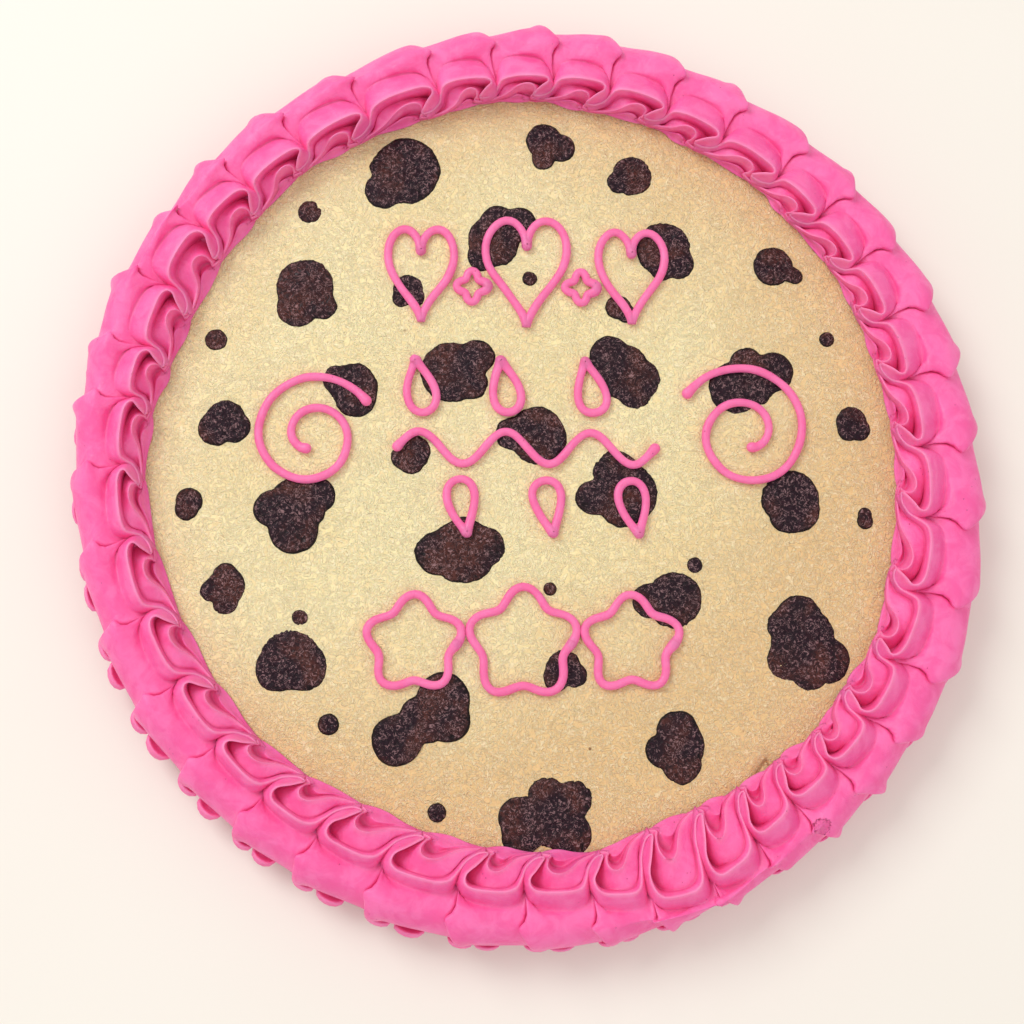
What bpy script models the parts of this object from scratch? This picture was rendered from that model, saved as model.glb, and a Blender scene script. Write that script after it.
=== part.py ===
"""Round chocolate chip cookie cake with a ruffled icing border and piped ornament.

Metres, +Z up. The flat bottom of the cookie lies on z = 0 and its centre is the origin.
Sizes below are in millimetres and are turned into metres when the meshes are made.
"""
import math
import random

import bmesh
import bpy
import numpy as np

NAME = "cookie_cake"
MM = 0.001
SEED = 11

# The photo was taken from here; places read from it are millimetres from VIEW_MIDDLE.
VIEW_AZIMUTH = 250.0
VIEW_ELEVATION = 82.0
VIEW_RANGE = 398.5
VIEW_TARGET = (-6.0, -12.7, 12.0)
VIEW_MIDDLE = (-3.92, -5.6)

# Cookie: a low disc with rounded edges.
COOKIE_RADIUS = 120.4
COOKIE_HEIGHT = 14.0
COOKIE_STEPS = 64
COOKIE_EDGE = 2.2

# Chips sit in pockets of the cookie and stand a little proud of it.
CHIP_PROUD = 0.35
CHIP_DEPTH = 3.6
CHIP_GAP = 0.3
CHIP_GROWTH = 0.6
CHIP_SIDES_LARGE = 11
CHIP_SIDES_SMALL = 8

# Icing border: one rope of overlapping ruffled shells around the rim.
RING = 115.0
BORDER_FOOT = 14.65
BORDER_REST = 14.38
BORDER_LOW = 4.2
STATIONS = 7

# Angle of each crease between two shells, read from the photo, in degrees.
CREASES = (5.9, 15.8, 25.0, 34.0, 42.5, 50.9, 60.5, 69.5, 78.1, 86.2, 94.3, 102.6, 113.0,
           123.1, 132.5, 140.9, 150.1, 159.3, 166.9, 176.4, 187.0, 198.0, 208.6, 218.9,
           228.8, 238.3, 248.6, 259.9, 269.7, 279.2, 287.0, 295.4, 303.3, 310.6, 318.2,
           326.5, 335.5, 345.6, 355.8)

# Every 30 degrees: outer edge, waist, crest and fold of the ruffle as radii in the photo,
# and its lean.
BORDER_FORM = (
    (126.7, 115.9, 112.8, 103.8, 0.40),
    (125.4, 116.8, 113.0, 105.6, 0.40),
    (126.7, 118.2, 115.0, 106.9, 0.38),
    (129.0, 120.4, 117.0, 108.9, 0.33),
    (128.1, 120.4, 116.8, 108.9, 0.33),
    (128.1, 119.5, 115.9, 106.9, 0.22),
    (126.7, 116.8, 114.6, 106.0, 0.15),
    (125.8, 114.1, 111.4, 102.0, 0.25),
    (125.6, 113.9, 111.8, 98.8, 0.38),
    (126.3, 115.0, 112.1, 102.0, 0.36),
    (128.1, 118.2, 114.1, 103.3, 0.28),
    (129.2, 118.2, 115.0, 104.9, 0.38),
)
BORDER_HEIGHTS = (11.0, 21.0, 25.0, 19.5)
CREASE_RADIUS = 118.0
CREASE_HEIGHT = 18.0

# Piped ornament: round bead of icing laid on the cookie.
BEAD_RADIUS = 1.35
BEAD_LIFT = 0.3

# Chips as round lobes (x, y, radius), as the photo shows them.
CHIPS = (
    ((-33.6, 89.9, 9.4), (-40.3, 84.2, 4.8), (-39.3, 90.7, 4.2)),
    ((5.0, 98.3, 4.8), (10.1, 96.3, 3.6), (4.8, 93.2, 2.8)),
    ((29.7, 88.5, 5.5), (25.8, 86.8, 3.1)),
    ((-60.5, 78.4, 3.2),),
    ((-9.0, 70.4, 7.1), (-7.8, 75.5, 4.8), (-1.6, 75.3, 4.3), (-12.0, 66.0, 4.2)),
    ((38.6, 68.0, 7.6), (42.7, 63.9, 4.2), (38.2, 62.3, 3.1)),
    ((69.2, 63.3, 5.4), (75.5, 60.4, 1.9)),
    ((-61.9, 57.4, 8.0), (-64.1, 51.7, 5.6), (-56.8, 52.1, 3.6)),
    ((-33.0, 56.8, 4.2), (-35.0, 54.4, 2.4), (-31.1, 54.6, 2.6)),
    ((1.0, 59.9, 1.9),),
    ((25.8, 51.8, 3.3), (28.0, 50.1, 2.5)),
    ((84.3, 42.8, 1.9),),
    ((-86.8, 42.6, 2.9),),
    ((-48.6, 29.5, 6.7), (-47.9, 26.5, 5.6), (-53.2, 31.3, 3.9)),
    ((-21.0, 33.6, 8.4), (-13.6, 38.1, 4.6), (-15.4, 30.4, 4.4)),
    ((27.2, 33.6, 7.8), (23.5, 38.1, 5.6), (31.6, 31.6, 5.9), (30.6, 27.6, 4.5)),
    ((63.0, 31.0, 7.2), (58.5, 29.2, 7.2), (69.4, 33.6, 5.4), (61.7, 36.0, 4.4)),
    ((91.2, 19.6, 4.2), (93.4, 17.4, 2.9), (90.4, 17.4, 2.9)),
    ((-84.3, 20.5, 5.2), (-87.0, 17.9, 4.7), (-81.6, 18.2, 4.2)),
    ((3.2, 15.7, 8.0), (-3.9, 16.4, 4.4)),
    ((-31.6, 11.2, 4.7), (-34.2, 9.7, 3.4), (-32.2, 8.4, 3.4)),
    ((-64.0, -3.5, 7.8), (-71.4, -4.6, 4.8), (-58.0, -1.0, 4.5), (-65.2, -10.6, 6.6)),
    ((28.2, -0.5, 8.7), (25.3, 4.9, 6.7), (18.6, -1.6, 4.6), (27.2, -3.4, 6.6)),
    ((74.2, -2.0, 7.8), (76.4, -5.0, 5.9), (73.6, -6.2, 5.2)),
    ((-94.4, -2.6, 3.6), (-95.1, -4.7, 3.1)),
    ((95.0, -8.2, 2.1), (95.0, -6.2, 1.7)),
    ((-17.4, -16.5, 9.0), (-25.0, -17.2, 5.8), (-17.4, -11.3, 4.5), (-11.6, -15.4, 5.8)),
    ((-84.0, -26.5, 5.2), (-84.3, -31.0, 3.4), (-88.4, -27.8, 2.9), (-84.2, -23.4, 3.4)),
    ((41.5, -30.2, 7.8), (34.4, -30.4, 4.6)),
    ((47.3, -20.6, 2.1),),
    ((6.7, -27.2, 1.7),),
    ((-63.3, -35.3, 2.2),),
    ((-66.1, -47.0, 8.4), (-62.6, -49.0, 6.8), (-69.8, -49.6, 6.2)),
    ((10.6, -49.4, 5.0), (8.7, -52.0, 3.8), (13.8, -51.4, 3.3)),
    ((77.6, -41.2, 9.0), (76.5, -35.6, 6.6), (84.6, -47.4, 6.2), (79.6, -49.8, 5.8),
     (73.2, -47.5, 5.6), (73.2, -37.5, 5.4)),
    ((-55.4, -65.2, 2.7),),
    ((-28.4, -63.6, 6.8), (-23.2, -57.8, 7.2), (-21.8, -63.8, 6.0), (-36.3, -69.8, 6.8)),
    ((43.2, -71.0, 6.8), (42.6, -67.4, 5.8), (38.4, -72.6, 4.6), (43.8, -76.6, 5.2)),
    ((-24.9, -89.9, 2.5),),
    ((8.0, -91.0, 8.6), (6.2, -86.2, 6.1), (13.2, -86.2, 5.3), (12.3, -96.0, 6.1),
     (-1.7, -96.9, 5.0), (-2.5, -91.3, 5.6)),
)


def clear_scene():
    for item in list(bpy.data.objects):
        bpy.data.objects.remove(item, do_unlink=True)


def new_collection(name):
    group = bpy.data.collections.new(name)
    bpy.context.scene.collection.children.link(group)
    return group


def new_material(name, colour, roughness, metallic=0.0):
    material = bpy.data.materials.new(name)
    material.use_nodes = True
    shader = material.node_tree.nodes["Principled BSDF"]
    shader.inputs["Base Color"].default_value = (*colour, 1.0)
    shader.inputs["Roughness"].default_value = roughness
    shader.inputs["Metallic"].default_value = metallic
    material.diffuse_color = (*colour, 1.0)
    return material


def add_mesh(name, points, faces, group, material=None):
    mesh = bpy.data.meshes.new(name)
    scaled = [(float(p[0]) * MM, float(p[1]) * MM, float(p[2]) * MM) for p in points]
    mesh.from_pydata(scaled, [], faces)
    mesh.update()
    item = bpy.data.objects.new(name, mesh)
    group.objects.link(item)
    if material:
        mesh.materials.append(material)
    return item


def apply_modifiers(item):
    bpy.context.view_layer.update()
    graph = bpy.context.evaluated_depsgraph_get()
    mesh = bpy.data.meshes.new_from_object(item.evaluated_get(graph))
    old = item.data
    item.modifiers.clear()
    item.data = mesh
    mesh.name = item.name
    if old.users == 0 and isinstance(old, bpy.types.Mesh):
        bpy.data.meshes.remove(old)
    bm = bmesh.new()
    bm.from_mesh(mesh)
    bmesh.ops.remove_doubles(bm, verts=bm.verts, dist=0.00001)
    bmesh.ops.recalc_face_normals(bm, faces=bm.faces)
    bm.to_mesh(mesh)
    bm.free()
    mesh.shade_smooth()
    mesh.set_sharp_from_angle(angle=math.radians(40))


def make_cutter(item):
    item.hide_render = True
    item.display_type = "WIRE"


def view_axes():
    """Directions to the right, up and towards the viewer, for the photo's viewpoint."""
    turn = math.radians(VIEW_AZIMUTH)
    rise = math.radians(VIEW_ELEVATION)
    back = np.array((math.cos(turn) * math.cos(rise), math.sin(turn) * math.cos(rise),
                     math.sin(rise)))
    across = np.cross((0.0, 1.0, 0.0), back)
    across /= np.linalg.norm(across)
    return across, np.cross(back, across), back


def seen(x, y, height):
    """Real place (x, y) and scale of a point of the photo, for its height on the cake."""
    across, up, back = view_axes()
    eye = np.array(VIEW_TARGET) + back * VIEW_RANGE
    ray = across * (x - VIEW_MIDDLE[0]) + up * (y - VIEW_MIDDLE[1]) - back * VIEW_RANGE
    scale = (height - eye[2]) / ray[2]
    place = eye + ray * scale
    return place[0], place[1], scale


def chip_lobes():
    """The lobes of every chip at their real places and sizes."""
    chips = []
    for lobes in CHIPS:
        found = []
        for x, y, radius in lobes:
            place_x, place_y, scale = seen(x, y, COOKIE_HEIGHT)
            found.append((place_x, place_y, (radius + CHIP_GROWTH) * scale))
        chips.append(found)
    return chips


def chip_reach(lobes, angle):
    """Distance from the first lobe's centre to the outline of all the lobes."""
    ux = math.cos(angle)
    uy = math.sin(angle)
    reach = lobes[0][2]
    for x, y, r in lobes[1:]:
        dx = x - lobes[0][0]
        dy = y - lobes[0][1]
        aside = dy * ux - dx * uy
        if abs(aside) < r:
            reach = max(reach, dx * ux + dy * uy + math.sqrt(r * r - aside * aside))
    return reach


def chip_slab(name, lobes, grow, low, high, group, material=None):
    """A flat-topped slab with the outline of the lobes, from height low to high."""
    sides = CHIP_SIDES_LARGE if lobes[0][2] > 4.0 else CHIP_SIDES_SMALL
    points = []
    for k in range(sides):
        angle = math.tau * (k + 0.5) / sides
        reach = chip_reach(lobes, angle) + grow
        x = lobes[0][0] + reach * math.cos(angle)
        y = lobes[0][1] + reach * math.sin(angle)
        points.append((x, y, low))
    item = add_mesh(name, points, [tuple(range(sides))], group, material)
    wall = item.modifiers.new("thickness", "SOLIDIFY")
    wall.thickness = (high - low) * MM
    wall.offset = 1.0
    return item


def build_cookie(group, cutters, material):
    """Turned disc with rounded rim, less one pocket for each chip."""
    top = COOKIE_HEIGHT
    edge = COOKIE_EDGE
    wide = COOKIE_RADIUS
    profile = [(0.0, 0.0), (wide - edge, 0.0), (wide - 0.9, 1.1), (wide, 3.4),
               (wide - 0.5, 8.2), (wide - 1.9, 11.6), (wide - 5.2, top), (0.0, top)]
    mesh = bpy.data.meshes.new("cookie")
    points = [(r * MM, 0.0, z * MM) for r, z in profile]
    mesh.from_pydata(points, [(i, i + 1) for i in range(len(points) - 1)], [])
    cookie = bpy.data.objects.new("cookie", mesh)
    group.objects.link(cookie)
    mesh.materials.append(material)
    turn = cookie.modifiers.new("turn", "SCREW")
    turn.axis = "Z"
    turn.angle = math.tau
    turn.steps = COOKIE_STEPS
    turn.render_steps = COOKIE_STEPS
    turn.use_merge_vertices = True
    turn.merge_threshold = 0.00001
    apply_modifiers(cookie)

    floor = top + CHIP_PROUD - CHIP_DEPTH - CHIP_GAP
    for i, lobes in enumerate(chip_lobes()):
        cutter = chip_slab(f"pocket_{i + 1:02d}", lobes, CHIP_GAP, floor, top + 4.0, cutters)
        apply_modifiers(cutter)
        make_cutter(cutter)
    cut = cookie.modifiers.new("pockets", "BOOLEAN")
    cut.operation = "DIFFERENCE"
    cut.operand_type = "COLLECTION"
    cut.collection = cutters
    cut.solver = "EXACT"
    apply_modifiers(cookie)
    return cookie


def build_chips(group, material):
    high = COOKIE_HEIGHT + CHIP_PROUD
    for i, lobes in enumerate(chip_lobes()):
        chip = chip_slab(f"chip_{i + 1:02d}", lobes, 0.0, high - CHIP_DEPTH, high, group,
                         material)
        apply_modifiers(chip)


def around(values, turn):
    """Smooth closed run through evenly spaced values; turn goes from 0 to 1."""
    values = np.asarray(values, float)
    count = len(values)
    place = np.mod(turn, 1.0) * count
    i = np.floor(place).astype(int)
    u = place - i
    a = values[(i - 1) % count]
    b = values[i % count]
    c = values[(i + 1) % count]
    d = values[(i + 2) % count]
    return b + 0.5 * u * (c - a + u * (2 * a - 5 * b + 4 * c - d + u * (3 * (b - c) + d - a)))


def crease_angle(phase):
    """Angle of a phase in radians; each shell is 2 pi of phase, its crease at odd pi."""
    count = len(CREASES)
    marks = []
    for mark in np.radians(CREASES):
        x, y, _ = seen(CREASE_RADIUS * math.cos(mark), CREASE_RADIUS * math.sin(mark),
                       CREASE_HEIGHT)
        marks.append(math.atan2(y, x) % math.tau)
    drift = np.array(marks) - math.tau * np.arange(count) / count
    shell = (phase - math.pi) / math.tau
    return math.tau * shell / count + around(drift, shell / count)


def border_form(turn):
    """Outer edge, waist, crest, fold and lean at each turn, as real sizes."""
    rows = []
    for k, row in enumerate(BORDER_FORM):
        angle = math.tau * k / len(BORDER_FORM)
        radii = []
        for radius, height in zip(row, BORDER_HEIGHTS):
            x, y, _ = seen(radius * math.cos(angle), radius * math.sin(angle), height)
            radii.append(math.hypot(x, y))
        rows.append((*radii, row[4]))
    form = np.array(rows)
    return [around(form[:, k], turn) for k in range(form.shape[1])]


def hump(angle, centre, width):
    """Smooth bump around the ring, 1 at its centre; both in degrees."""
    gap = np.degrees(np.angle(np.exp(1j * (angle - math.radians(centre)))))
    return np.exp(-(gap / width) ** 2)


def border_lines():
    """Closed lines around the ring, in order around the section of the rope."""
    count = len(CREASES)
    total = count * STATIONS
    phase = math.pi + math.tau * np.arange(total) / STATIONS
    angle = crease_angle(phase)
    turn = angle / math.tau
    outer, waist, crest, fold, lean = border_form(turn)
    pitch = math.tau * RING / count
    rng = random.Random(SEED)
    shells = phase / math.tau
    wobble = [around([rng.uniform(-1, 1) for _ in range(count)], shells / count)
              for _ in range(6)]
    loose = hump(angle, 147, 9) + hump(angle, 293, 11)
    crease = np.exp(-(1 + np.cos(phase)) / 0.10)
    saw = 0.64 * (-np.sin(phase) + 0.5 * np.sin(2 * phase))
    outer = outer + 0.5 * wobble[0]
    fold = fold + 0.9 * wobble[1]
    crest = crest + 0.5 * wobble[2] + 2.0 * loose
    lean = lean + 0.06 * wobble[3]
    inner = fold + 3.6 - 3.0 * np.minimum(1.0, hump(angle, 235, 75) + hump(angle, 160, 22))
    inner = np.minimum(inner, crest - 6.2)

    def smooth(radius, height, notch=0.0, tooth=0.0, along=0.0):
        r = radius + tooth * saw - notch * crease * 0.8
        z = height - notch * crease * 0.6
        return r, np.full(total, along * pitch), z

    def ruffle(r_open, r_fold, z_open, z_fold, swing, tilt, ahead=0.0, flat=0.7):
        g = phase - math.tau * ahead
        wide = ((1 + np.cos(g)) / 2) ** flat
        r = r_fold + (r_open - r_fold) * wide
        z = z_fold + (z_open - z_fold) * wide
        t = pitch * (0.06 + swing * np.sin(g) + tilt * (1 - np.cos(g)) / 2)
        return r, t, z

    past = np.mod(phase + math.pi, math.tau)
    low_left = hump(angle, 222, 50)
    first = np.exp(-((past - 1.1) / 1.5) ** 2)
    reach = (1.3 + 1.9 * low_left) * first + (0.2 + 3.2 * low_left) * (1 - first)
    reach = reach * (0.8 + 0.3 * wobble[4])
    puff = ((1 + np.cos(2 * past - 0.72 * math.pi)) / 2) ** 0.55
    frill = (outer - 1.5 + (reach + 1.5) * puff, np.zeros(total), 8.6 + 0.8 * puff)
    high = 24.9 + 0.5 * wobble[5]
    lines = [
        smooth(outer - 3.4, BORDER_LOW),
        frill,
        smooth(outer - 1.6, 8.8),
        smooth(outer - 0.1, 13.6, 2.4, 1.1, 0.07),
        smooth(outer - 2.2, 18.4, 2.6, 1.0, -0.05),
        smooth(waist + 4.0, 21.1 + 1.2 * loose, 2.2, 0.7, -0.07),
        smooth(waist + 0.8, 20.9, 1.8, 0.2, 0.03),
        ruffle(crest, fold + 1.4, high, 19.4, 0.13, lean),
        ruffle(crest - 1.8, fold + 0.6, 15.8, 16.6, 0.10, lean),
        ruffle(crest - 3.8, fold + 0.2, 20.4, 16.8, 0.09, lean),
        ruffle(crest - 5.4, fold - 0.1, 16.2, 16.2, 0.08, lean),
        ruffle(inner, fold - 0.5, 16.4, 15.8, 0.06, lean),
        ruffle(inner + 0.4, fold + 0.2, BORDER_FOOT, BORDER_FOOT, 0.05, lean),
        smooth(COOKIE_RADIUS + 1.2, BORDER_REST),
    ]
    return angle, lines


def build_border(group, material):
    """Skin of the icing rope, lofted through the closed lines of the ruffle."""
    angle, lines = border_lines()
    total = len(angle)
    points = []
    for radius, along, height in lines:
        where = angle + along / RING
        x = radius * np.cos(where)
        y = radius * np.sin(where)
        points.extend(zip(x, y, height))
    faces = []
    rows = len(lines)
    for j in range(rows):
        up = ((j + 1) % rows) * total
        here = j * total
        for i in range(total):
            n = (i + 1) % total
            faces.append((here + i, here + n, up + n, up + i))
    border = add_mesh("border", points, faces, group, material)
    bm = bmesh.new()
    bm.from_mesh(border.data)
    bmesh.ops.recalc_face_normals(bm, faces=bm.faces)
    bmesh.ops.triangulate(bm, faces=bm.faces, quad_method="SHORT_EDGE")
    bm.to_mesh(border.data)
    bm.free()
    border.data.shade_smooth()
    return border


def heart(x, y, wide, tall, count=16):
    points = []
    for i in range(count):
        t = math.tau * (i + 0.5) / count
        px = wide / 2 * math.sin(t) ** 3
        py = 13 * math.cos(t) - 5 * math.cos(2 * t) - 2 * math.cos(3 * t) - math.cos(4 * t)
        points.append((x + px, y + tall * (py + 2.5) / 29))
    return points, True


def blossom(x, y, size, petals, depth, count):
    points = []
    for i in range(count):
        t = math.tau * i / count
        r = size / 2 * (1 - depth + depth * math.cos(petals * (t - math.pi / 2)))
        points.append((x + r * math.cos(t), y + r * math.sin(t)))
    return points, True


def drop(x, y, wide, tall, turn, count=12):
    """Teardrop loop with its point turned to the given angle in degrees."""
    points = []
    c = math.cos(math.radians(turn))
    s = math.sin(math.radians(turn))
    for i in range(count):
        t = math.tau * (i + 0.5) / count
        px = tall / 2 * math.cos(t)
        py = wide / 2 * math.sin(t) * math.sin(t / 2) ** 1.2 * 1.25
        points.append((x + c * px - s * py, y + s * px + c * py))
    return points, True


def spiral(x, y, size, turns, start, mirror, count):
    """Spiral from the inside out; mirror is 1 or -1."""
    points = []
    for i in range(count):
        u = i / (count - 1)
        t = math.radians(start) + mirror * math.tau * turns * u
        r = size / 2 * (0.22 + 0.78 * u)
        points.append((x + r * math.cos(t), y + r * math.sin(t)))
    return points, False


def wave(x0, x1, y, rise, waves, count):
    points = []
    for i in range(count):
        u = i / (count - 1)
        points.append((x0 + (x1 - x0) * u, y + rise * math.sin(math.tau * waves * u)))
    return points, False


def strokes():
    """Every separate stroke of the ornament as points and whether it is a closed loop."""
    found = {}
    for i, (x, y, wide, tall) in enumerate(((-32, 54.5, 19, 27), (-2, 55.5, 23, 31),
                                            (28, 54.5, 19, 27))):
        found[f"heart_{i + 1}"] = heart(x, y, wide, tall)
    for i, x in enumerate((-17.4, 13.4)):
        found[f"bud_{i + 1}"] = blossom(x, 51.5, 9.0, 4, 0.2, 16)
    found["garland"] = wave(-38, 34, 5, 4.6, 3, 22)
    for i, (x, y, turn) in enumerate(((-32, 22.5, 100), (-8, 22.5, 100), (16, 22.5, 100),
                                      (-20, -11.5, -80), (4, -11.5, -80), (28, -11.5, -80))):
        found[f"leaf_{i + 1}"] = drop(x, y, 8.5, 15, turn)
    found["scroll_left"] = spiral(-62, 8, 36, 1.6, 250, -1, 25)
    found["scroll_right"] = spiral(60, 10, 40, 1.6, 290, 1, 27)
    for i, (x, size) in enumerate(((-33, 27), (-3, 31), (27, 27))):
        found[f"flower_{i + 1}"] = blossom(x, -49.5, size, 5, 0.13, 25)
    return found


def build_ornament(group, material):
    height = COOKIE_HEIGHT + CHIP_PROUD + BEAD_LIFT + BEAD_RADIUS
    for name, (points, closed) in strokes().items():
        curve = bpy.data.curves.new(name, "CURVE")
        curve.dimensions = "3D"
        line = curve.splines.new("POLY")
        line.points.add(len(points) - 1)
        for k, (x, y) in enumerate(points):
            line.points[k].co = (x * MM, y * MM, height * MM, 1.0)
        line.use_cyclic_u = closed
        curve.bevel_depth = BEAD_RADIUS * MM
        curve.bevel_resolution = 0
        curve.use_fill_caps = not closed
        curve.resolution_u = 1
        curve.materials.append(material)
        shape = bpy.data.objects.new(name + "_line", curve)
        group.objects.link(shape)
        bpy.context.view_layer.update()
        graph = bpy.context.evaluated_depsgraph_get()
        mesh = bpy.data.meshes.new_from_object(shape.evaluated_get(graph))
        mesh.name = name
        bead = bpy.data.objects.new(name, mesh)
        group.objects.link(bead)
        bpy.data.objects.remove(shape, do_unlink=True)
        apply_modifiers(bead)


def main():
    clear_scene()
    group = new_collection(NAME)
    cutters = new_collection("cutters")
    crumb = new_material("baked_crumb", (0.78, 0.60, 0.36), 0.72)
    icing = new_material("pink_icing", (0.90, 0.13, 0.38), 0.45)
    chocolate = new_material("dark_chocolate", (0.055, 0.024, 0.022), 0.38)
    build_cookie(group, cutters, crumb)
    build_chips(group, chocolate)
    build_border(group, icing)
    build_ornament(group, icing)


main()
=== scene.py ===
"""Round chocolate chip cookie cake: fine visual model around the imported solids.

Metres, +Z up. The flat bottom of the cookie lies on z = 0 and its centre is the origin.
Sizes below are in millimetres and are turned into metres when the meshes are made.
Distances inside the materials are in metres.
"""
import math
import random

import bpy
import numpy as np
from mathutils import Matrix, Vector, noise
from mathutils.geometry import intersect_point_line


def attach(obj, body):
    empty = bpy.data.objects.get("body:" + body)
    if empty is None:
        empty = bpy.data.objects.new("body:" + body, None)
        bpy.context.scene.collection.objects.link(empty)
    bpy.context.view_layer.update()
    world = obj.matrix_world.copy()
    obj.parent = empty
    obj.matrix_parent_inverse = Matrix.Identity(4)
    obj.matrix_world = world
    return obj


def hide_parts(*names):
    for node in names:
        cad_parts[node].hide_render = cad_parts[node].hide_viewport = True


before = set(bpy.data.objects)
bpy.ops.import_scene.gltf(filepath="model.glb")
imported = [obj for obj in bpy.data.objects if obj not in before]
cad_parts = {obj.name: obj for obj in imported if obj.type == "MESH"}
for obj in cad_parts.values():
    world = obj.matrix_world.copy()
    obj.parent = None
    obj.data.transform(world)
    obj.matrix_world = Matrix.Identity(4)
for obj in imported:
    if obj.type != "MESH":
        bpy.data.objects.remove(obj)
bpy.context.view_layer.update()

MM = 0.001
SEED = 11
BODY = "root"

# The photo was taken from here. Places read from it are in millimetres from the middle of
# the cake, and VIEW_MIDDLE is the middle of the picture in the same measure.
VIEW_AZIMUTH = 250.0
VIEW_ELEVATION = 82.0
VIEW_RANGE = 398.5
VIEW_TARGET = (-6.0, -12.7, 12.0)
VIEW_MIDDLE = (-3.92, -5.6)
LENS = 50.0
SENSOR = 36.0

# Floor and light, in metres: the lights by name, place, power and width.
FLOOR_SIZE = 6.0
WORLD_COLOUR = (1.0, 0.975, 0.945, 1.0)
WORLD_STRENGTH = 0.70
LIGHTS = (("key", (-0.77, 0.70, 1.12), 10.7, 0.70),
          ("fill", (0.50, -0.60, 0.90), 1.6, 0.90))

# Cookie: a low baked disc. The innermost ring of its top is COOKIE_HUB of the top's edge,
# and the swells lie COOKIE_SINK lower than its height.
COOKIE_RADIUS = 120.4
COOKIE_HEIGHT = 14.0
COOKIE_AROUND = 600
COOKIE_RINGS = 118
COOKIE_TOP_EDGE = 112.0
COOKIE_HUB = 0.004
COOKIE_SINK = 0.15

# Height, width and seed of each size of swell on the baked top.
COOKIE_SWELLS = ((0.34, 34.0, 1.7), (0.20, 13.0, 4.1), (0.13, 5.2, 7.3), (0.08, 2.6, 9.9))

# Radius and height down the rounded side and over the underside.
COOKIE_SIDE = ((115.2, 14.0), (117.6, 13.2), (119.2, 11.8), (120.0, 9.6), (120.3, 7.0),
               (120.2, 4.6), (119.9, 2.6), (119.3, 1.1), (118.2, 0.25), (116.6, 0.0),
               (80.0, 0.0), (40.0, 0.0), (8.0, 0.0))
SHOULDER_SWELL = 0.4
BULGE_FROM = 117.0
BULGE_RISE = 0.22
BULGE_SIZE = 9.0
BULGE_TALL = 7.0

# A small crack with two legs in the baked top, as the photo shows it.
CRACK = ((62.4, -82.3), (67.2, -74.9), (68.7, -77.6))
CRACK_WIDTH = 0.75
CRACK_DEPTH = 0.7
CRACK_SLOPE = 0.8
CRACK_NEAR = 14.0

# Chips stand a little proud of the cookie, in pockets. Below the shoulder the wall tapers in.
# A chip grows by CHIP_GROWTH past its lobes, and a small one has half the points.
CHIP_PROUD = 0.35
CHIP_DEPTH = 3.4
CHIP_SHOULDER = 1.6
CHIP_TAPER = 0.5
CHIP_GROWTH = 0.6
SMALL_CHIP = 4.0
CHIP_AROUND = 96
CHIP_RINGS = 24

# Icing border: one rope of overlapping ruffled shells around the rim, with STATIONS points
# along each shell, and half the thickness of its fins, frills and inner foot. RING is the
# radius at which lengths along it are turned into angles.
RING = 115.0
STATIONS = 35
FIN_HALF = 0.27
FRILL_HALF = 0.35
APRON_HALF = 0.4

# Angle of each crease between two shells, read from the photo, in degrees.
CREASES = (5.9, 15.8, 25.0, 34.0, 42.5, 50.9, 60.5, 69.5, 78.1, 86.2, 94.3, 102.6, 113.0,
           123.1, 132.5, 140.9, 150.1, 159.3, 166.9, 176.4, 187.0, 198.0, 208.6, 218.9,
           228.8, 238.3, 248.6, 259.9, 269.7, 279.2, 287.0, 295.4, 303.3, 310.6, 318.2,
           326.5, 335.5, 345.6, 355.8)

# Every 30 degrees: outer edge, waist, crest and fold of the ruffle as radii in the photo,
# and its lean.
BORDER_FORM = (
    (126.7, 115.9, 112.8, 104.3, 0.30),
    (125.9, 116.8, 113.0, 107.2, 0.33),
    (126.7, 118.2, 115.0, 108.5, 0.33),
    (128.9, 120.4, 117.0, 110.5, 0.30),
    (127.9, 120.4, 116.8, 110.0, 0.28),
    (128.3, 119.5, 115.9, 108.0, 0.25),
    (126.9, 116.8, 114.6, 107.6, 0.20),
    (125.9, 114.1, 111.4, 103.5, 0.35),
    (126.5, 113.9, 111.8, 100.5, 0.45),
    (128.3, 115.6, 112.4, 102.8, 0.30),
    (128.2, 118.2, 114.1, 103.4, 0.25),
    (129.6, 118.2, 115.0, 106.2, 0.16),
)

# Heights of those four radii and of the creases, by which the view makes them real places.
BORDER_HEIGHTS = (14.0, 21.0, 25.0, 19.5)
CREASE_RADIUS = 118.0
CREASE_HEIGHT = 18.0

# One shell of each line of the ruffle: along in shells from the crease, out from the fold
# (0) to the crest (1) and the waist (2), and height.
BAND_ALONG = (0.0, 0.015, 0.04, 0.08, 0.15, 0.27, 0.42, 0.57, 0.72, 0.85, 0.94, 0.985)
LIP_FOOT = ((0.26, 0.02, 16.8), (0.14, 0.12, 17.0), (0.01, 0.34, 17.8), (-0.04, 0.68, 19.2),
            (0.01, 1.20, 19.5), (0.13, 2.10, 19.8), (0.41, 2.36, 20.2), (0.69, 2.34, 20.5),
            (0.88, 2.10, 20.2), (0.97, 1.44, 19.2), (1.03, 0.76, 18.0), (1.13, 0.28, 17.2))
RIM_A = ((0.33, 0.05, 20.2), (0.285, 0.17, 21.6), (0.19, 0.38, 23.2), (0.09, 0.60, 24.3),
         (0.095, 0.83, 24.8), (0.20, 0.98, 25.0), (0.42, 1.02, 25.1), (0.68, 1.01, 24.9),
         (0.88, 0.90, 24.0), (0.97, 0.62, 22.0), (1.04, 0.35, 20.2), (1.19, 0.10, 19.4))
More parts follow.
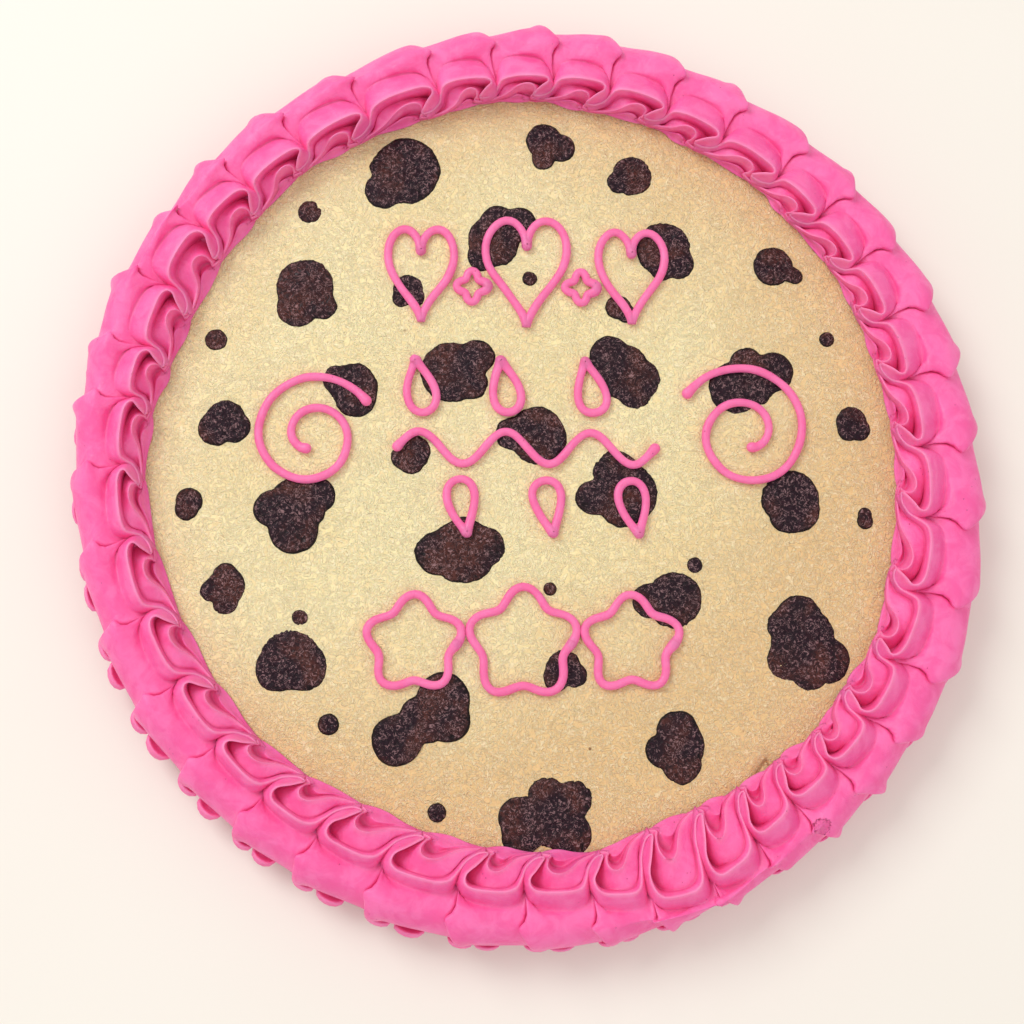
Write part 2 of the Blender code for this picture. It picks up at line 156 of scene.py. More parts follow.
HOLLOW_A = ((0.31, 0.06, 16.0), (0.25, 0.16, 15.8), (0.17, 0.34, 15.8), (0.09, 0.56, 16.0),
            (0.10, 0.76, 16.6), (0.19, 0.90, 17.8), (0.40, 0.94, 20.4), (0.65, 0.93, 20.8),
            (0.82, 0.82, 20.2), (0.91, 0.58, 18.6), (0.98, 0.32, 16.8), (1.16, 0.10, 16.0))
SIDE_B = ((0.33, 0.05, 17.0), (0.28, 0.13, 17.4), (0.23, 0.28, 17.8), (0.19, 0.48, 18.2),
          (0.20, 0.68, 18.8), (0.29, 0.84, 20.0), (0.48, 0.86, 21.0), (0.70, 0.82, 21.0),
          (0.84, 0.66, 20.2), (0.92, 0.42, 18.8), (1.00, 0.20, 17.2), (1.17, 0.06, 16.2))
RIM_B = ((0.40, 0.03, 18.2), (0.37, 0.10, 19.6), (0.345, 0.22, 21.2), (0.35, 0.34, 22.4),
         (0.40, 0.45, 23.0), (0.49, 0.50, 23.0), (0.59, 0.47, 22.4), (0.68, 0.38, 21.4),
         (0.76, 0.26, 20.2), (0.86, 0.14, 19.0), (1.02, 0.05, 17.8), (1.24, -0.01, 17.2))
HOLLOW_B = ((0.43, 0.07, 15.8), (0.41, 0.12, 15.8), (0.39, 0.20, 15.8), (0.40, 0.28, 15.9),
            (0.45, 0.36, 16.0), (0.52, 0.39, 16.2), (0.59, 0.35, 16.4), (0.66, 0.27, 16.6),
            (0.74, 0.17, 16.6), (0.86, 0.07, 16.4), (1.04, 0.00, 16.0), (1.26, -0.04, 15.7))
RIM_C = ((0.49, 0.02, 15.9), (0.48, 0.05, 16.4), (0.49, 0.10, 17.2), (0.53, 0.14, 17.8),
         (0.58, 0.16, 18.0), (0.63, 0.16, 18.0), (0.69, 0.13, 17.6), (0.76, 0.08, 17.2),
         (0.86, 0.02, 16.6), (0.97, -0.03, 16.2), (1.08, -0.06, 15.8), (1.28, -0.09, 15.6))
APRON = ((0.30, -0.05, 15.2), (0.36, -0.12, 15.2), (0.43, -0.19, 15.2), (0.51, -0.24, 15.2),
         (0.59, -0.26, 15.2), (0.67, -0.26, 15.2), (0.75, -0.24, 15.2), (0.83, -0.20, 15.2),
         (0.92, -0.16, 15.2), (1.02, -0.12, 15.2), (1.12, -0.09, 15.2), (1.21, -0.06, 15.2))

# Stretches around the border, as their middle and half width in degrees: where it came out
# loose and tall, where frills stick out, where it leans more, where its hollows are
# shallower, and where its inner foot spreads onto the cookie.
LOOSE_UPPER_LEFT = (148, 8)
LOOSE_LOWER_RIGHT = (291, 10)
FRILLED = (229, 50)
LEANING = (25, 38)
SHALLOW = (265, 75)
WIDE_FOOT = ((235, 75), (160, 22))

# A torn patch on the outside of the border, as the photo shows it.
TEAR = (83.2, -94.2)
TEAR_HEIGHT = 22.3
TEAR_SIZE = 2.7
TEAR_DEPTH = 0.75
TEAR_LUMP = 1.1
TEAR_GRAIN = 1.5

# Light and deep pink of the border, and of the piping on the cookie.
ICING_LIGHT = (1.0, 0.178, 0.465)
ICING_DEEP = (0.94, 0.112, 0.375)
PIPING_LIGHT = (0.98, 0.200, 0.460)
PIPING_DEEP = (0.92, 0.160, 0.400)

# Piped ornament: round bead of icing laid on the cookie, swollen where it starts and stops
# (by a share of its size, over a length) and closed there over the cap's angles.
BEAD_RADIUS = 1.3
BEAD_SIDES = 14
BEAD_FLAT = 0.88
BEAD_SINK = 0.12
BEAD_START = (0.26, 1.6)
BEAD_STOP = (0.30, 1.8)
BEAD_CAP = (0.35, 0.7, 1.05, 1.35)
WOBBLE = 0.35
WOBBLE_SIZE = 9.0

# Places and sizes of its strokes: hearts and buds above, leaves over and under a garland
# in the middle, and flowers below.
HEARTS = ((-32, 54.5, 19, 27), (-2, 55.5, 23, 31), (28, 54.5, 19, 27))
BUDS = (-17.4, 13.4)
BUD_ROW = 51.5
BUD_SIZE = 9.0
GARLAND_ROW = 5
LEAVES = ((-32, 22.5, 100), (-8, 22.5, 100), (16, 22.5, 100),
          (-20, -11.5, -80), (4, -11.5, -80), (28, -11.5, -80))
LEAF_WIDE = 8.5
LEAF_TALL = 15
FLOWERS = ((-33, 27), (-3, 31), (27, 27))
FLOWER_ROW = -49.5

# Chips as round lobes (x, y, radius), as the photo shows them.
CHIPS = (
    ((-33.6, 89.9, 9.4), (-40.3, 84.2, 4.8), (-39.3, 90.7, 4.2)),
    ((5.0, 98.3, 4.8), (10.1, 96.3, 3.6), (4.8, 93.2, 2.8)),
    ((29.7, 88.5, 5.5), (25.8, 86.8, 3.1)),
    ((-60.5, 78.4, 3.2),),
    ((-9.0, 70.4, 7.1), (-7.8, 75.5, 4.8), (-1.6, 75.3, 4.3), (-12.0, 66.0, 4.2)),
    ((38.6, 68.0, 7.6), (42.7, 63.9, 4.2), (38.2, 62.3, 3.1)),
    ((69.2, 63.3, 5.4), (75.5, 60.4, 1.9)),
    ((-61.9, 57.4, 8.0), (-64.1, 51.7, 5.6), (-56.8, 52.1, 3.6)),
    ((-33.0, 56.8, 4.2), (-35.0, 54.4, 2.4), (-31.1, 54.6, 2.6)),
    ((1.0, 59.9, 1.9),),
    ((25.8, 51.8, 3.3), (28.0, 50.1, 2.5)),
    ((84.3, 42.8, 1.9),),
    ((-86.8, 42.6, 2.9),),
    ((-48.6, 29.5, 6.7), (-47.9, 26.5, 5.6), (-53.2, 31.3, 3.9)),
    ((-21.0, 33.6, 8.4), (-13.6, 38.1, 4.6), (-15.4, 30.4, 4.4)),
    ((27.2, 33.6, 7.8), (23.5, 38.1, 5.6), (31.6, 31.6, 5.9), (30.6, 27.6, 4.5)),
    ((63.0, 31.0, 7.2), (58.5, 29.2, 7.2), (69.4, 33.6, 5.4), (61.7, 36.0, 4.4)),
    ((91.2, 19.6, 4.2), (93.4, 17.4, 2.9), (90.4, 17.4, 2.9)),
    ((-84.3, 20.5, 5.2), (-87.0, 17.9, 4.7), (-81.6, 18.2, 4.2)),
    ((3.2, 15.7, 8.0), (-3.9, 16.4, 4.4)),
    ((-31.6, 11.2, 4.7), (-34.2, 9.7, 3.4), (-32.2, 8.4, 3.4)),
    ((-64.0, -3.5, 7.8), (-71.4, -4.6, 4.8), (-58.0, -1.0, 4.5), (-65.2, -10.6, 6.6)),
    ((28.2, -0.5, 8.7), (25.3, 4.9, 6.7), (18.6, -1.6, 4.6), (27.2, -3.4, 6.6)),
    ((74.2, -2.0, 7.8), (76.4, -5.0, 5.9), (73.6, -6.2, 5.2)),
    ((-94.4, -2.6, 3.6), (-95.1, -4.7, 3.1)),
    ((95.0, -8.2, 2.1), (95.0, -6.2, 1.7)),
    ((-17.4, -16.5, 9.0), (-25.0, -17.2, 5.8), (-17.4, -11.3, 4.5), (-11.6, -15.4, 5.8)),
    ((-84.0, -26.5, 5.2), (-84.3, -31.0, 3.4), (-88.4, -27.8, 2.9), (-84.2, -23.4, 3.4)),
    ((41.5, -30.2, 7.8), (34.4, -30.4, 4.6)),
    ((47.3, -20.6, 2.1),),
    ((6.7, -27.2, 1.7),),
    ((-63.3, -35.3, 2.2),),
    ((-66.1, -47.0, 8.4), (-62.6, -49.0, 6.8), (-69.8, -49.6, 6.2)),
    ((10.6, -49.4, 5.0), (8.7, -52.0, 3.8), (13.8, -51.4, 3.3)),
    ((77.6, -41.2, 9.0), (76.5, -35.6, 6.6), (84.6, -47.4, 6.2), (79.6, -49.8, 5.8),
     (73.2, -47.5, 5.6), (73.2, -37.5, 5.4)),
    ((-55.4, -65.2, 2.7),),
    ((-28.4, -63.6, 6.8), (-23.2, -57.8, 7.2), (-21.8, -63.8, 6.0), (-36.3, -69.8, 6.8)),
    ((43.2, -71.0, 6.8), (42.6, -67.4, 5.8), (38.4, -72.6, 4.6), (43.8, -76.6, 5.2)),
    ((-24.9, -89.9, 2.5),),
    ((8.0, -91.0, 8.6), (6.2, -86.2, 6.1), (13.2, -86.2, 5.3), (12.3, -96.0, 6.1),
     (-1.7, -96.9, 5.0), (-2.5, -91.3, 5.6)),
)

# Viewpoint.

def view_axes():
    """Directions to the right, up and towards the viewer, for the photo's viewpoint."""
    turn = math.radians(VIEW_AZIMUTH)
    rise = math.radians(VIEW_ELEVATION)
    back = np.array((math.cos(turn) * math.cos(rise), math.sin(turn) * math.cos(rise),
                     math.sin(rise)))
    across = np.cross((0.0, 1.0, 0.0), back)
    across /= np.linalg.norm(across)
    return across, np.cross(back, across), back


def seen(x, y, height):
    """Real place (x, y) and scale of a point of the photo, for its height on the cake."""
    across, up, back = view_axes()
    eye = np.array(VIEW_TARGET) + back * VIEW_RANGE
    ray = across * (x - VIEW_MIDDLE[0]) + up * (y - VIEW_MIDDLE[1]) - back * VIEW_RANGE
    scale = (height - eye[2]) / ray[2]
    place = eye + ray * scale
    return place[0], place[1], scale


# Materials.

class Nodes:
    """Short way to build a node material."""

    def __init__(self, name):
        self.material = bpy.data.materials.new(name)
        self.material.use_nodes = True
        self.tree = self.material.node_tree
        self.shader = self.tree.nodes["Principled BSDF"]
        self.place = self.add("ShaderNodeTexCoord").outputs["Object"]

    def add(self, kind, **settings):
        """New node of a kind, with its settings."""
        node = self.tree.nodes.new(kind)
        for key, value in settings.items():
            setattr(node, key, value)
        return node

    def link(self, source, target):
        """Feed an input from another node, a number or a colour."""
        if isinstance(source, (int, float)):
            target.default_value = source
        elif isinstance(source, tuple):
            target.default_value = source if len(source) == 4 else (*source, 1.0)
        else:
            self.tree.links.new(source, target)

    def noise(self, scale, detail=2.0, rough=0.5, distortion=0.0):
        """Cloudy noise from about 0.3 to 0.7, with scale waves to the metre."""
        node = self.add("ShaderNodeTexNoise")
        self.link(self.place, node.inputs["Vector"])
        node.inputs["Scale"].default_value = scale
        node.inputs["Detail"].default_value = detail
        node.inputs["Roughness"].default_value = rough
        node.inputs["Distortion"].default_value = distortion
        return node.outputs["Fac"]

    def cells(self, scale):
        """Distance to the nearest of many scattered points, scale of them to the metre."""
        node = self.add("ShaderNodeTexVoronoi")
        self.link(self.place, node.inputs["Vector"])
        node.inputs["Scale"].default_value = scale
        return node.outputs["Distance"]

    def range(self, value, low, high, to_low=0.0, to_high=1.0):
        """Smooth step from to_low to to_high while the value goes from low to high."""
        node = self.add("ShaderNodeMapRange", interpolation_type="SMOOTHSTEP")
        self.link(value, node.inputs["Value"])
        node.inputs["From Min"].default_value = low
        node.inputs["From Max"].default_value = high
        node.inputs["To Min"].default_value = to_low
        node.inputs["To Max"].default_value = to_high
        return node.outputs["Result"]

    def math(self, operation, a, b=0.0):
        """Result of one operation on a, or on a and b."""
        node = self.add("ShaderNodeMath", operation=operation)
        self.link(a, node.inputs[0])
        self.link(b, node.inputs[1])
        return node.outputs["Value"]

    def stroke(self, x, y, start, end, width):
        """1 along a straight stroke between two places in metres, 0 away from it."""
        length = math.dist(start, end)
        ux = (end[0] - start[0]) / length
        uy = (end[1] - start[1]) / length
        dx = self.math("SUBTRACT", x, (start[0] + end[0]) / 2)
        dy = self.math("SUBTRACT", y, (start[1] + end[1]) / 2)
        along = self.math("ADD", self.math("MULTIPLY", dx, ux), self.math("MULTIPLY", dy, uy))
        aside = self.math("SUBTRACT", self.math("MULTIPLY", dy, ux),
                          self.math("MULTIPLY", dx, uy))
        past = self.math("SUBTRACT", self.math("ABSOLUTE", along), length / 2)
        past = self.math("MAXIMUM", past, 0.0)
        square = self.math("ADD", self.math("MULTIPLY", past, past),
                           self.math("MULTIPLY", aside, aside))
        return self.range(self.math("SQRT", square), width, 0.25 * width)

    def gap(self, place):
        """Distance from a place in metres."""
        node = self.add("ShaderNodeVectorMath", operation="DISTANCE")
        self.link(self.place, node.inputs[0])
        node.inputs[1].default_value = place
        return node.outputs["Value"]

    def mix(self, share, a, b):
        """Colour a, and b as far as the share goes from 0 to 1."""
        node = self.add("ShaderNodeMix", data_type="RGBA")
        self.link(share, node.inputs["Factor"])
        self.link(a, node.inputs[6])
        self.link(b, node.inputs[7])
        return node.outputs[2]

    def axes(self):
        """x, y and z of the place on the piece, in metres."""
        node = self.add("ShaderNodeSeparateXYZ")
        self.link(self.place, node.inputs[0])
        return node.outputs

    def bump(self, height, distance, strength, before=None):
        """Normal bent by a height, which is distance metres high at 1."""
        node = self.add("ShaderNodeBump")
        node.inputs["Strength"].default_value = strength
        node.inputs["Distance"].default_value = distance
        self.link(height, node.inputs["Height"])
        if before:
            self.link(before, node.inputs["Normal"])
        return node.outputs["Normal"]

    def finish(self, colour, roughness, normal=None, **constants):
        """The material, with its colour, roughness, normal and constants on the shader."""
        self.link(colour, self.shader.inputs["Base Color"])
        self.link(roughness, self.shader.inputs["Roughness"])
        if normal:
            self.link(normal, self.shader.inputs["Normal"])
        for key, value in constants.items():
            self.shader.inputs[key.replace("_", " ")].default_value = value
        return self.material


def torn_patch(nodes, colour, normal):
    """The colour and normal with the ragged torn patch of the border in them: painted shade
    inside it and a painted shadow line along its edge.
    """
    # Painted shade inside the torn dent and a painted shadow line along its torn edge.
    inside = (0.68, 0.060, 0.250)
    line = (0.45, 0.015, 0.110)
    # The noise adds up to wander to the distance, so that the edge is ragged.
    wander = 0.0034
    drift = nodes.noise(520.0, detail=5.0, rough=0.65, distortion=1.5)
    gap = nodes.gap([value * MM for value in tear_place()])
    gap = nodes.math("ADD", nodes.math("MULTIPLY", drift, wander), gap)
    edge = TEAR_SIZE * MM + 0.0015
    torn = nodes.range(gap, edge, edge - 0.0003)
    off_line = nodes.math("ABSOLUTE", nodes.math("SUBTRACT", gap, edge - 0.0001))
    lip = nodes.range(off_line, 0.0004, 0.0)
    # Painted shade over the patch, then the painted shadow line at its edge.
    colour = nodes.mix(nodes.math("MULTIPLY", torn, 0.38), colour, inside)
    colour = nodes.mix(nodes.math("MULTIPLY", lip, 0.50), colour, line)
    lumps = nodes.math("SUBTRACT", nodes.noise(900.0, detail=3.0), 1.4)
    return colour, nodes.bump(nodes.math("MULTIPLY", torn, lumps), 0.0009, 0.9, normal)


def icing_material(name, light, deep, border=False):
    """Buttercream: soft shine, slight glow inside, tiny pits with painted shade in them and
    drag marks.

    The border's has painted shade in its hollows and a painted highlight on its thin rims
    too, and the torn patch.
    """
    # Painted shade for the hollows and a painted highlight for the thin rims.
    painted_hollow_shade = (0.72, 0.030, 0.180)
    rim = (1.0, 0.360, 0.580)
    nodes = Nodes(name)
    cloud = nodes.noise(160.0, detail=4.0, rough=0.62, distortion=0.6)
    colour = nodes.mix(nodes.range(cloud, 0.34, 0.66), deep, light)
    if border:
        # Each point's painted light: below 0 painted shade, towards 1 a painted highlight.
        painted_light = nodes.add("ShaderNodeAttribute", attribute_name="painted_light").outputs["Fac"]
        colour = nodes.mix(nodes.range(painted_light, -0.1, -0.9, 0.0, 0.60), colour, painted_hollow_shade)
        colour = nodes.mix(nodes.range(painted_light, 0.55, 1.0, 0.0, 0.45), colour, rim)
    # Tiny pits, pressed in by the bump, with their colour darkened as painted shade.
    pits = nodes.range(nodes.cells(420.0), 0.02, 0.10)
    rare = nodes.range(nodes.noise(130.0, detail=1.0), 0.52, 0.60)
    pitted = nodes.math("MULTIPLY", nodes.math("SUBTRACT", 1.0, pits), rare)
    holes = nodes.math("SUBTRACT", 1.0, pitted)
    colour = nodes.mix(holes, tuple(0.62 * c for c in deep), colour)
    satin = nodes.noise(420.0, detail=4.0, rough=0.65, distortion=0.8)
    normal = nodes.bump(satin, 0.00045, 0.6)
    normal = nodes.bump(holes, 0.00025, 0.8, normal)
    if border:
        colour, normal = torn_patch(nodes, colour, normal)
    roughness = nodes.range(nodes.noise(180.0, detail=2.0), 0.3, 0.7, 0.36, 0.50)
    return nodes.finish(colour, roughness, normal, Subsurface_Weight=0.22,
                        Subsurface_Radius=(1.0, 0.30, 0.42), Subsurface_Scale=0.0028,
                        Specular_IOR_Level=0.42)


def crumb_material():
    """Pale baked crumb, palest left of the middle and brown low on the side, with a grain."""
    pale = (1.000, 0.860, 0.490)
    warm = (0.990, 0.815, 0.435)
    toast = (0.850, 0.575, 0.275)
    brown = (0.400, 0.190, 0.075)
    sugar = (1.0, 0.90, 0.62)
    shadow = (0.74, 0.52, 0.23)
    dark_speck = (0.26, 0.12, 0.05)
    crack_shade = (0.42, 0.17, 0.06)
    palest_x = -0.035
    palest_y = 0.018
    stretch = 1.25

    nodes = Nodes("baked_crumb_fine")
    x, y, z = nodes.axes()
    drift = nodes.noise(16.0, detail=4.0, rough=0.6)
    across = nodes.math("SUBTRACT", x, palest_x)
    along = nodes.math("MULTIPLY", nodes.math("SUBTRACT", y, palest_y), stretch)
    square = nodes.math("ADD", nodes.math("MULTIPLY", across, across),
                        nodes.math("MULTIPLY", along, along))
    away = nodes.math("ADD", nodes.math("SQRT", square), nodes.math("MULTIPLY", drift, 0.040))
    blotch = nodes.noise(34.0, detail=5.0, rough=0.62)
    colour = nodes.mix(nodes.range(blotch, 0.34, 0.68), pale, warm)
    colour = nodes.mix(nodes.range(away, 0.088, 0.157), colour, toast)
    grain = nodes.noise(360.0, detail=2.0, rough=0.5, distortion=2.6)
    off_vein = nodes.math("ABSOLUTE", nodes.math("SUBTRACT", grain, 0.5))
    vein = nodes.range(off_vein, 0.085, 0.010)
    colour = nodes.mix(nodes.math("MULTIPLY", vein, 0.42), colour, sugar)
    colour = nodes.mix(nodes.range(grain, 0.45, 0.33, 0.0, 0.32), colour, shadow)
    specks = nodes.range(nodes.cells(95.0), 0.055, 0.025)
    some = nodes.range(nodes.noise(70.0, detail=1.0), 0.60, 0.66)
    colour = nodes.mix(nodes.math("MULTIPLY", specks, some), colour, dark_speck)
    # Painted shade darkens the crack, which is also cut into the cookie as a groove.
    start, bend, end = [(u * MM, v * MM) for u, v in crack_places()]
    crack = nodes.math("MAXIMUM", nodes.stroke(x, y, start, bend, CRACK_WIDTH * MM),
                       nodes.stroke(x, y, bend, end, 0.7 * CRACK_WIDTH * MM))
    colour = nodes.mix(nodes.math("MULTIPLY", crack, 0.62), colour, crack_shade)
    height = nodes.math("ADD", z, nodes.math("MULTIPLY", drift, 0.004))
    colour = nodes.mix(nodes.range(height, 0.0135, 0.0035), colour, brown)
    fibre = nodes.noise(520.0, detail=3.0, rough=0.55, distortion=2.2)
    normal = nodes.bump(fibre, 0.0010, 0.6)
    normal = nodes.bump(vein, 0.0004, 0.7, normal)
    roughness = nodes.range(grain, 0.35, 0.65, 0.50, 0.72)
    return nodes.finish(colour, roughness, normal, Subsurface_Weight=0.08,
                        Subsurface_Radius=(1.0, 0.6, 0.3), Subsurface_Scale=0.0015,
                        Specular_IOR_Level=0.45)


def chocolate_material():
    """Very dark chocolate, purple-black to brown, with fine pale squiggles of painted
    highlight on its ridges, painted shade in its grooves and a painted shadow at its rim.
    """
    dark = (0.022, 0.006, 0.014)
    brown = (0.100, 0.029, 0.023)
    groove_shade = (0.010, 0.003, 0.007)
    ridge_highlight = (0.38, 0.22, 0.23)
    rim_contact_shadow = (0.006, 0.002, 0.004)
    foot_top = 0.01435
    foot_end = 0.01400

    nodes = Nodes("dark_chocolate_fine")
    patch = nodes.noise(75.0, detail=2.0, rough=0.5, distortion=0.3)
    colour = nodes.mix(nodes.range(patch, 0.42, 0.60), dark, brown)
    worm = nodes.noise(500.0, detail=1.0, rough=0.4, distortion=3.0)
    line = nodes.math("ABSOLUTE", nodes.math("SUBTRACT", worm, 0.5))
    ridge = nodes.range(line, 0.070, 0.015)
    # Painted highlight along the wrinkle ridges, broken into pieces.
    broken = nodes.range(nodes.noise(1000.0, detail=1.0), 0.44, 0.54)
    ridge_highlight_share = nodes.math("MULTIPLY", nodes.math("MULTIPLY", ridge, broken), 0.70)
    # Painted shade darkens the grooves between the wrinkle ridges.
    groove_shade_share = nodes.range(line, 0.06, 0.16, 0.0, 0.8)
    colour = nodes.mix(groove_shade_share, colour, groove_shade)
    colour = nodes.mix(ridge_highlight_share, colour, ridge_highlight)
    # Painted contact shadow: near-black where the chip's rim rolls down into its pocket.
    colour = nodes.mix(nodes.range(nodes.axes()[2], foot_top, foot_end), colour, rim_contact_shadow)
    normal = nodes.bump(ridge, 0.0003, 0.7)
    normal = nodes.bump(worm, 0.0007, 0.6, normal)
    roughness = nodes.range(worm, 0.35, 0.65, 0.30, 0.48)
    return nodes.finish(colour, roughness, normal, Specular_IOR_Level=0.22)


def floor_material():
    """Pale matt surface with a faint warm cloudiness."""
    cream = (0.905, 0.862, 0.790)
    light_cream = (0.915, 0.875, 0.807)
    nodes = Nodes("pale_floor")
    cloud = nodes.noise(6.0, detail=3.0)
    colour = nodes.mix(nodes.range(cloud, 0.3, 0.7), cream, light_cream)
    roughness = nodes.range(cloud, 0.3, 0.7, 0.80, 0.88)
    return nodes.finish(colour, roughness, Specular_IOR_Level=0.2)


# Meshes.

def put(name, mesh, material, nodes):
    """Link the mesh as a piece on the body, in place of the named nodes."""
    mesh.materials.append(material)
    mesh.shade_smooth()
    item = bpy.data.objects.new(name, mesh)
    bpy.context.scene.collection.objects.link(item)
    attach(item, BODY)
    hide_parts(*nodes)


def grid_mesh(name, grid):
    """Skin over rows of points that close around, with a fan over the first and last row."""
    rows, count, _ = grid.shape
    index = np.arange(rows * count).reshape(rows, count)
    here = index[:-1]
    up = index[1:]
    quads = np.stack([here, np.roll(here, -1, 1), np.roll(up, -1, 1), up], -1).reshape(-1, 4)
    faces = quads.tolist()
    points = (grid.reshape(-1, 3) * MM).tolist()
    for row, flip in ((0, True), (rows - 1, False)):
        hub = len(points)
        points.append((grid[row].mean(0) * MM).tolist())
        ring = index[row].tolist()
        for a, b in zip(ring, ring[1:] + ring[:1]):
            faces.append((b, a, hub) if flip else (a, b, hub))
    mesh = bpy.data.meshes.new(name)
    mesh.from_pydata(points, [], faces)
    mesh.update()
    return mesh


def rough(x, y, scale, seed):
    """Smooth noise from -1 to 1 at a point in millimetres; scale is its size."""
    return noise.noise(Vector((x / scale, y / scale, seed)))


# Cookie.

def crack_places():
    """Real places of the ends and the bend of the crack."""
    return [seen(x, y, COOKIE_HEIGHT)[:2] for x, y in CRACK]


def crack_gap(x, y, crack):
    """Distance from a place on the cookie to the crack; infinite well away from it."""
    if math.dist((x, y), crack[1]) > CRACK_NEAR:
        return math.inf
    gaps = []
    for start, end in zip(crack, crack[1:]):
        _, share = intersect_point_line(Vector((x, y)), Vector(start), Vector(end))
        near = Vector(start).lerp(Vector(end), min(1.0, max(0.0, share)))
        gaps.append(math.dist((x, y), tuple(near)))
    return min(gaps)


def cookie_height(x, y, crack):
    """Height of the baked top: swells, shallow dimples, a puffy grain and a crack."""
    swell = sum(high * rough(x, y, wide, seed) for high, wide, seed in COOKIE_SWELLS)
    cut = CRACK_DEPTH * math.exp(-(crack_gap(x, y, crack) / CRACK_SLOPE) ** 2)
    return COOKIE_HEIGHT + swell - COOKIE_SINK - cut


def build_cookie(material):
    """Baked disc: rings over the top, then down the rounded side and over the underside."""
    crack = crack_places()
    turns = math.tau * np.arange(COOKIE_AROUND) / COOKIE_AROUND
    steps = np.arange(COOKIE_RINGS) / (COOKIE_RINGS - 1)
    grid = []
    for r in COOKIE_TOP_EDGE * (COOKIE_HUB + (1 - COOKIE_HUB) * steps):
        row = []
        for a in turns:
            x = r * math.cos(a)
            y = r * math.sin(a)
            row.append((x, y, cookie_height(x, y, crack)))
        grid.append(row)
    for r, z in COOKIE_SIDE:
        row = []
        for a in turns:
            x = math.cos(a)
            y = math.sin(a)
            bulge = 0.0
            height = z
            if r > BULGE_FROM:
                bulge = BULGE_RISE * rough(x * RING, y * RING, BULGE_SIZE, z / BULGE_TALL)
            if z == COOKIE_HEIGHT:
                height = SHOULDER_SWELL * cookie_height(r * x, r * y, crack)
                height += (1 - SHOULDER_SWELL) * z
            row.append(((r + bulge) * x, (r + bulge) * y, height))
        grid.append(row)
    mesh = grid_mesh("cookie_fine", np.array(grid))
    put("cookie_fine", mesh, material, ["cookie"])


# Chips.

def chip_lobes():
    """The lobes of every chip at their real places and sizes."""
    chips = []
    for lobes in CHIPS:
        found = []
        for x, y, radius in lobes:
            place_x, place_y, scale = seen(x, y, COOKIE_HEIGHT)
            found.append((place_x, place_y, (radius + CHIP_GROWTH) * scale))
        chips.append(found)
    return chips


def chip_reach(lobes, angle):
    """Distance from the first lobe's centre to the outline of all the lobes."""
    ux = math.cos(angle)
    uy = math.sin(angle)
    reach = lobes[0][2]
    for x, y, r in lobes[1:]:
        dx = x - lobes[0][0]
        dy = y - lobes[0][1]
        aside = dy * ux - dx * uy
        if abs(aside) < r:
            reach = max(reach, dx * ux + dy * uy + math.sqrt(r * r - aside * aside))
    return reach


def build_chips(material):
    """Each chip is a low mound with a wrinkled top, a rolled rim and a ragged outline."""
    rng = random.Random(SEED)
    for i, lobes in enumerate(chip_lobes()):
        name = f"chip_{i + 1:02d}"
        cx, cy, size = lobes[0]
        small = size < SMALL_CHIP and len(lobes) < 3
        sides = CHIP_AROUND // 2 if small else CHIP_AROUND
        rings = CHIP_RINGS // 2 if small else CHIP_RINGS
        seed = rng.uniform(0, 50)
        ragged = rng.uniform(0, math.tau)
        outline = []
        for k in range(sides):
            a = math.tau * k / sides
            wide = sum(chip_reach(lobes, a + s) for s in (-0.06, 0.0, 0.06)) / 3
            ux = math.cos(a)
            uy = math.sin(a)
            # Fine wear, more on one side, over a broad waviness.
            side = 0.5 + 0.5 * math.cos(a - ragged)
            wear = (0.5 + side) * 0.030 * size * rough(ux * size, uy * size, 1.5, seed)
            wear += 0.035 * size * rough(ux * size, uy * size, 5.0, seed + 3)
            outline.append((ux, uy, wide + wear))
        top = COOKIE_HEIGHT + CHIP_PROUD
        grid = []
        for z, inset in ((top - CHIP_DEPTH, CHIP_TAPER), (top - CHIP_SHOULDER, 0.0)):
            grid.append([(cx + ux * (w - inset), cy + uy * (w - inset), z)
                         for ux, uy, w in outline])
        for j in range(rings):
            u = 1.0 - j / rings
            row = []
            for ux, uy, w in outline:
                edge = (1.0 - u) * w
                x = cx + ux * w * u
                y = cy + uy * w * u
                # Rolled rim, wrinkles that fade out at the rim, and a low uneven dome.
                roll = 0.85 * math.exp(-(edge / 0.55) ** 2)
                warp = 0.6 * rough(x, y, 2.2, seed + 9)
                wrinkle = 1.0 - 2.0 * abs(rough(x + warp, y - warp, 1.15, seed))
                fade = min(1.0, edge / 0.9)
                dome = 0.25 * (1.0 - u * u) + 0.16 * rough(x, y, 3.4, seed + 5)
                z = top + dome - 0.10 - roll + 0.26 * (wrinkle - 0.6) * fade
                row.append((x, y, z))
            grid.append(row)
        mesh = grid_mesh(name + "_fine", np.array(grid))
        put(name + "_fine", mesh, material, [name])


# Icing border.

def run(a, b, c, d, u):
    """Smooth run from b to c as u goes from 0 to 1; a comes before b, and d after c."""
    return b + 0.5 * u * (c - a + u * (2 * a - 5 * b + 4 * c - d + u * (3 * (b - c) + d - a)))


def around(values, turn):
    """Smooth closed run through evenly spaced values; turn goes from 0 to 1."""
    values = np.asarray(values, float)
    count = len(values)
    place = np.mod(turn, 1.0) * count
    i = np.floor(place).astype(int)
    return run(*(values[(i + k) % count] for k in (-1, 0, 1, 2)), place - i)


def crease_angle(phase):
    """Angle of a phase in radians; each shell is 2 pi of phase, its crease at odd pi."""
    count = len(CREASES)
    marks = []
    for mark in np.radians(CREASES):
        x, y, _ = seen(CREASE_RADIUS * math.cos(mark), CREASE_RADIUS * math.sin(mark),
                       CREASE_HEIGHT)
        marks.append(math.atan2(y, x) % math.tau)
    drift = np.array(marks) - math.tau * np.arange(count) / count
    shell = (phase - math.pi) / math.tau
    return math.tau * shell / count + around(drift, shell / count)


